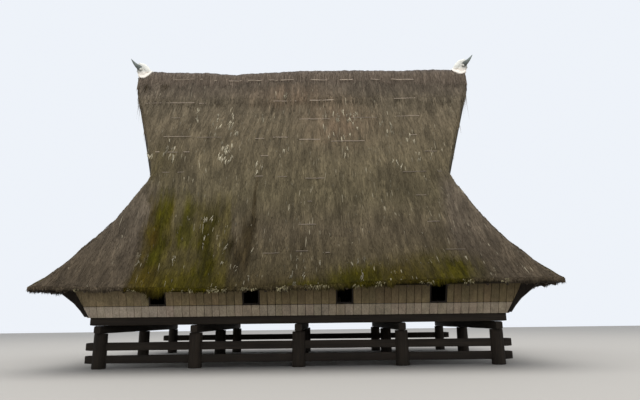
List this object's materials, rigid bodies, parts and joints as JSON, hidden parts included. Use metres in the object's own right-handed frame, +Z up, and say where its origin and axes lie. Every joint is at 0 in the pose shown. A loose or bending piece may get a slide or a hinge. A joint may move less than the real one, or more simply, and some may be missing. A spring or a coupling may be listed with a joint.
{
  "type": "raised thatched longhouse",
  "caption": "Timber longhouse on posts, with low plank walls leaning outwards, small windows, a tall thatched roof with a skirt on all sides, leaning gables and horned ridge ends.",
  "frame": {"origin": "centre of the house at ground level", "axes": "+X along the ridge, to the right as seen from the long front; +Y from the front to the back; +Z up"},
  "size_m": [16.4004, 12.0004, 13.2482],
  "materials": {
    "timber": "weathered dark timber",
    "board": "weathered grey boards",
    "shaded_board": "weathered dark boards",
    "thatch": "coarse fibre thatch with moss",
    "ridge_thatch": "coarse dark fibre thatch",
    "bamboo": "woven split bamboo",
    "whitewash": "rough whitewashed plaster"
  },
  "bodies": {
    "root": {"back_thatch": "thatch", "back_wall_lower": "board", "back_wall_upper": "shaded_board", "corner_board_back_left": "timber", "corner_board_back_right": "timber", "corner_board_front_left": "timber", "corner_board_front_right": "timber", "floor_deck": "shaded_board", "front_thatch": "thatch", "front_wall_lower": "board", "front_wall_upper": "shaded_board", "girder_1": "timber", "girder_2": "timber", "girder_3": "timber", "girder_4": "timber", "girder_5": "timber", "left_gable": "bamboo", "left_ridge_finial": "whitewash", "left_skirt_thatch": "thatch", "left_wall_back_part": "shaded_board", "left_wall_front_part": "shaded_board", "left_wall_over_door": "shaded_board", "post_back_1": "timber", "post_back_2": "timber", "post_back_3": "timber", "post_back_4": "timber", "post_back_5": "timber", "post_front_1": "timber", "post_front_2": "timber", "post_front_3": "timber", "post_front_4": "timber", "post_front_5": "timber", "post_middle_1": "timber", "post_middle_2": "timber", "post_middle_3": "timber", "post_middle_4": "timber", "post_middle_5": "timber", "rail_back_lower": "timber", "rail_back_upper": "timber", "rail_front_lower": "timber", "rail_front_upper": "timber", "ridge_cap": "ridge_thatch", "right_gable": "bamboo", "right_ridge_finial": "whitewash", "right_skirt_thatch": "thatch", "right_wall_back_part": "shaded_board", "right_wall_front_part": "shaded_board", "right_wall_over_door": "shaded_board", "sill_back": "timber", "sill_front": "timber", "sill_left": "timber", "sill_right": "timber"}
  },
  "joints": []
}
